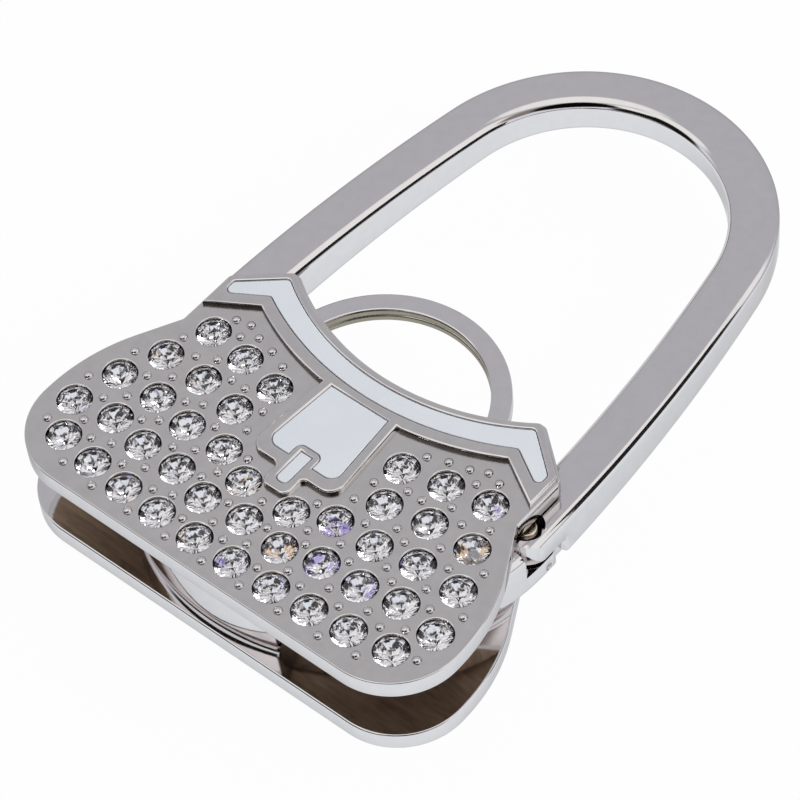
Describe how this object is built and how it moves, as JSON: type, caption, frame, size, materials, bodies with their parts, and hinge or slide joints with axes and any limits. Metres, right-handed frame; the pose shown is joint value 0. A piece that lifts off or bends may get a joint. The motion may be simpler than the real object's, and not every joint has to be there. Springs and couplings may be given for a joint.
{
  "type": "purse hook",
  "caption": "Table purse hook shaped like a small handbag: jewelled body between two shells, a hinged shackle as its handle and a split key ring.",
  "frame": {"origin": "middle of the bag-shaped body, on the grip pad's resting face", "axes": "+Z out of the jewelled face, +Y from the bag's lower edge to the shackle's tip, +X to the hinge side"},
  "size_m": [0.0462, 0.0699, 0.0113],
  "materials": {
    "plated_zinc": "polished",
    "enamel": "glossy, pearly",
    "crystal": "faceted, foil-backed",
    "rubber": "matte",
    "brass": "satin",
    "steel": "plated",
    "magnet": "nickel-plated"
  },
  "bodies": {
    "body": {"front_plate": "plated_zinc", "enamel_band": "enamel", "enamel_flap": "enamel", "enamel_tab": "enamel", "crystal_01": "crystal", "crystal_02": "crystal", "crystal_03": "crystal", "crystal_04": "crystal", "crystal_05": "crystal", "crystal_06": "crystal", "crystal_07": "crystal", "crystal_08": "crystal", "crystal_09": "crystal", "crystal_10": "crystal", "crystal_11": "crystal", "crystal_12": "crystal", "crystal_13": "crystal", "crystal_14": "crystal", "crystal_15": "crystal", "crystal_16": "crystal", "crystal_17": "crystal", "crystal_18": "crystal", "crystal_19": "crystal", "crystal_20": "crystal", "crystal_21": "crystal", "crystal_22": "crystal", "crystal_23": "crystal", "crystal_24": "crystal", "crystal_25": "crystal", "crystal_26": "crystal", "crystal_27": "crystal", "crystal_28": "crystal", "crystal_29": "crystal", "crystal_30": "crystal", "crystal_31": "crystal", "crystal_32": "crystal", "crystal_33": "crystal", "crystal_34": "crystal", "crystal_35": "crystal", "crystal_36": "crystal", "crystal_37": "crystal", "crystal_38": "crystal", "crystal_39": "crystal", "crystal_40": "crystal", "crystal_41": "crystal", "crystal_42": "crystal", "crystal_43": "crystal", "back_plate": "plated_zinc", "grip_pad": "rubber", "spacer_arc": "plated_zinc", "pivot_post": "brass", "cross_pin": "steel", "catch_magnet": "magnet", "key_ring_post": "steel", "rivet_left": "steel", "rivet_right": "steel", "rivet_bottom": "steel"},
    "shackle": {"shackle": "plated_zinc", "shackle_magnet": "magnet"},
    "key_ring": {"key_ring": "steel"}
  },
  "joints": [
    {"name": "shackle_hinge", "type": "hinge", "parent": "body", "child": "shackle", "pos_m": [0.01819, 0.0069, 0.0058], "axis": [0, 0, 1], "range_deg": [-90, 0]},
    {"name": "key_ring_swing", "type": "hinge", "parent": "body", "child": "key_ring", "pos_m": [0, 0.00275, 0.0058], "axis": [0, 0, 1], "range_deg": [-35, 12]}
  ]
}
